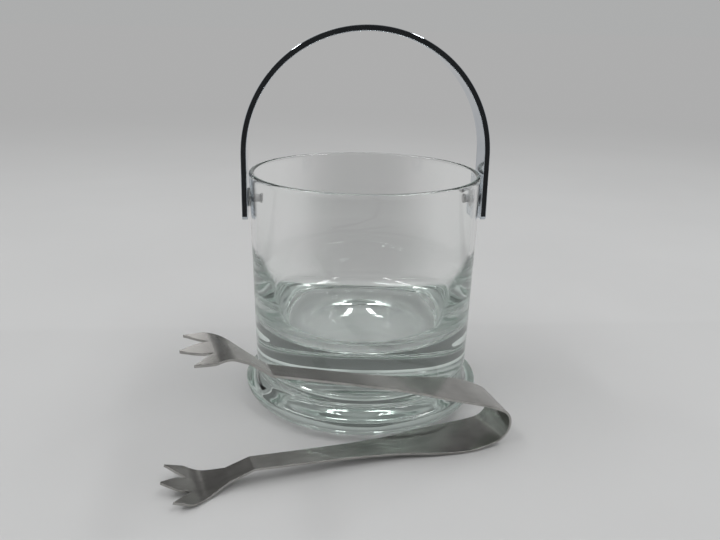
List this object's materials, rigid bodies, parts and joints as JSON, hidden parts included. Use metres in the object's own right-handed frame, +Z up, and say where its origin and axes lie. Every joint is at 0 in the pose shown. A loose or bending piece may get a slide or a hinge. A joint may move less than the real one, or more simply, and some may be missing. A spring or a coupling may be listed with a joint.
{
  "type": "ice bucket",
  "caption": "Clear glass ice bucket with a thick solid base, a flared foot and a swinging flat metal bail handle, with sprung strip ice tongs lying in front.",
  "frame": {"origin": "centre of the bucket's foot, on the plane it rests on", "axes": "+Z up, +X along the handle's pivot axis, -Y the front, where the tongs lie"},
  "size_m": [0.169, 0.1887, 0.202],
  "materials": {
    "clear_glass": "clear, polished",
    "handle_chrome": "polished",
    "pivot_steel": "polished",
    "bushing_plastic": "translucent, satin",
    "cap_steel": "satin",
    "tongs_steel": "satin, brushed along the strip"
  },
  "bodies": {
    "bucket": {"glass_bucket": "clear_glass", "left_flanged_bushing": "bushing_plastic", "right_flanged_bushing": "bushing_plastic"},
    "handle": {"handle_band": "handle_chrome", "left_pivot_rivet": "pivot_steel", "right_pivot_rivet": "pivot_steel", "left_retaining_cap": "cap_steel", "right_retaining_cap": "cap_steel"},
    "tongs_lower": {"tongs_lower_half": "tongs_steel"},
    "tongs_upper": {"tongs_upper_half": "tongs_steel"}
  },
  "joints": [
    {"name": "handle_swing", "type": "hinge", "parent": "bucket", "child": "handle", "pos_m": [0, 0, 0.1123], "axis": [1, 0, 0], "range_deg": [-130, 130]},
    {"name": "tongs_lift", "type": "slide", "parent": "bucket", "child": "tongs_lower", "axis": [0, -0.5, 0.866], "range_m": [0, 0.15]},
    {"name": "tongs_squeeze", "type": "hinge", "parent": "tongs_lower", "child": "tongs_upper", "pos_m": [0.06559, -0.06079, 0.01144], "axis": [0.278, -0.9561, -0.0928], "range_deg": [0, 21], "stiffness_Nm_per_rad": 1.4}
  ]
}
